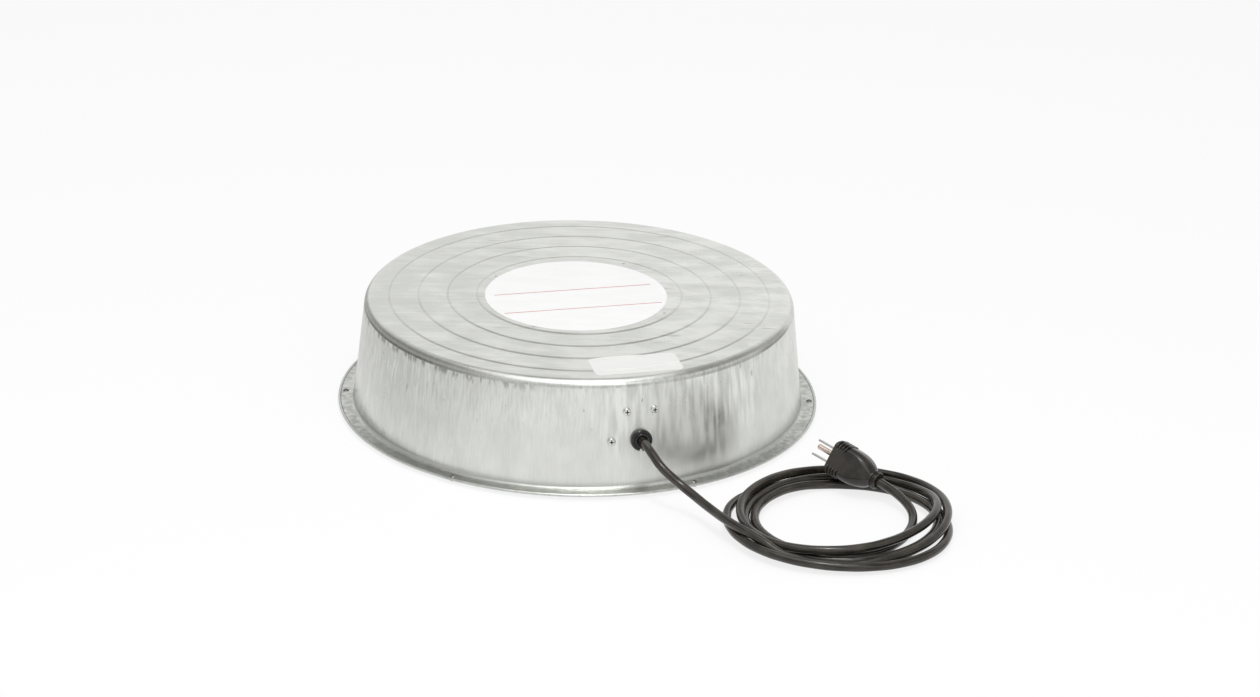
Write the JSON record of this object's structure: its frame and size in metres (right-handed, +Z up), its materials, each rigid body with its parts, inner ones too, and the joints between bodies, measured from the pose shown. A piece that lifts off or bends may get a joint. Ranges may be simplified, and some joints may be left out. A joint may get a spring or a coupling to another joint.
{
  "type": "waterer heater base",
  "caption": "Round galvanised heater base with a ringed flat top and flanged foot, a disc heater and snap thermostat inside, and a loosely coiled power cord with a plug.",
  "frame": {"origin": "centre of the round base on the floor", "axes": "+Z up along the pan's axis; the cord leaves the wall towards -Y"},
  "size_m": [0.5311, 0.5528, 0.1006],
  "materials": {
    "galvanised_pan": "drawn galvanised sheet with a soft sheen",
    "galvanised_base": "pressed galvanised sheet",
    "rivet": "plain",
    "label": "matt white sticker, left bare",
    "mica": "pressed mica sheet",
    "ribbon": "resistance ribbon",
    "heater_plate": "rolled sheet",
    "insulation": "fibre felt",
    "shield": "galvanised sheet",
    "fastener": "zinc plated",
    "bushing": "moulded nylon",
    "cord": "matt jacket",
    "wall_screw": "zinc plated",
    "bracket": "plain",
    "cup": "drawn",
    "bimetal": "rolled",
    "ceramic": "fired",
    "phenolic": "moulded",
    "terminal": "stamped",
    "contact": "spring strip",
    "connector": "insulated sleeve",
    "wire_black": "insulation",
    "wire_white": "insulation",
    "wire_green": "insulation",
    "splice": "crimped sleeve",
    "lead": "braided glass sleeve",
    "plug": "moulded",
    "prong": "plated",
    "ground_pin": "plain"
  },
  "bodies": {
    "base": {"pan_shell": "galvanised_pan", "base_plate": "galvanised_base", "flange_rivets": "rivet", "centre_label": "label", "rating_label": "label", "heater_upper_sheet": "mica", "heater_ribbon": "ribbon", "heater_lower_sheet": "mica", "heater_plate": "heater_plate", "insulation_pad": "insulation", "heat_shield": "shield", "weld_studs": "fastener", "stud_washers": "fastener", "stud_nuts": "fastener", "strain_relief": "bushing", "cord_stub": "cord", "thermostat_screws": "wall_screw", "thermostat_nuts": "fastener", "thermostat_bracket": "bracket", "thermostat_cup": "cup", "thermostat_body": "phenolic", "thermostat_cover": "phenolic", "line_terminal": "terminal", "load_terminal": "terminal", "spade_connectors": "connector", "ground_screw": "wall_screw", "ground_ring": "terminal", "ground_nut": "fastener", "line_wire": "wire_black", "neutral_wire": "wire_white", "ground_wire": "wire_green", "wire_splice": "splice", "heater_line_lead": "lead", "heater_neutral_lead": "lead", "cord_lead": "cord", "cord_coil": "cord", "cord_tail": "cord", "plug_body": "plug", "plug_blades": "prong", "plug_ground_pin": "ground_pin"},
    "snap_unit": {"snap_disc": "bimetal", "transfer_pin": "ceramic"},
    "blade": {"contact_blade": "contact"}
  },
  "joints": [
    {"name": "snap_slide", "type": "slide", "parent": "base", "child": "snap_unit", "axis": [-0.2908, 0.9511, -0.1045], "range_m": [-0.0004, 0]},
    {"name": "blade_hinge", "type": "hinge", "parent": "base", "child": "blade", "pos_m": [0.04832, -0.17172, 0.06989], "axis": [0.0306, -0.1, -0.9945], "range_deg": [0, 5.8]}
  ],
  "couplings": [
    {"joint": "blade_hinge", "follows": "snap_slide", "rad_per_m": -250}
  ]
}
